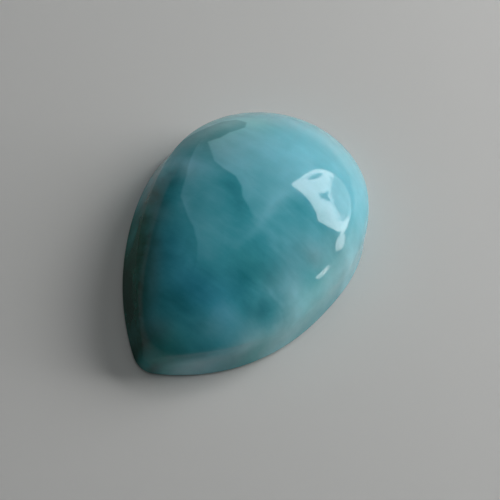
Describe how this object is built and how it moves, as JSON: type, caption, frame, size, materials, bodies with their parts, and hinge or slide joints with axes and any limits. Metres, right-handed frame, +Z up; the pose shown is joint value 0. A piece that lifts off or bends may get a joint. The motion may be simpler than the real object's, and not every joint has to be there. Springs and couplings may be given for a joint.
{
  "type": "larimar cabochon",
  "caption": "Polished pear-shaped larimar cabochon with a flat back, a low steep side and a domed top that narrows to a point.",
  "frame": {"origin": "middle of the flat back, on the surface that the stone rests on", "axes": "+Z up through the dome, +Y along the stone from its point to its round end, +X across it"},
  "size_m": [0.0128, 0.018, 0.0057],
  "materials": {
    "larimar": "hand-polished blue-green pectolite with pale clouds and fibres, waxy to glassy shine; flat back and foot of the side ground satin"
  },
  "bodies": {
    "root": {"larimar_cabochon": "larimar"}
  },
  "joints": []
}
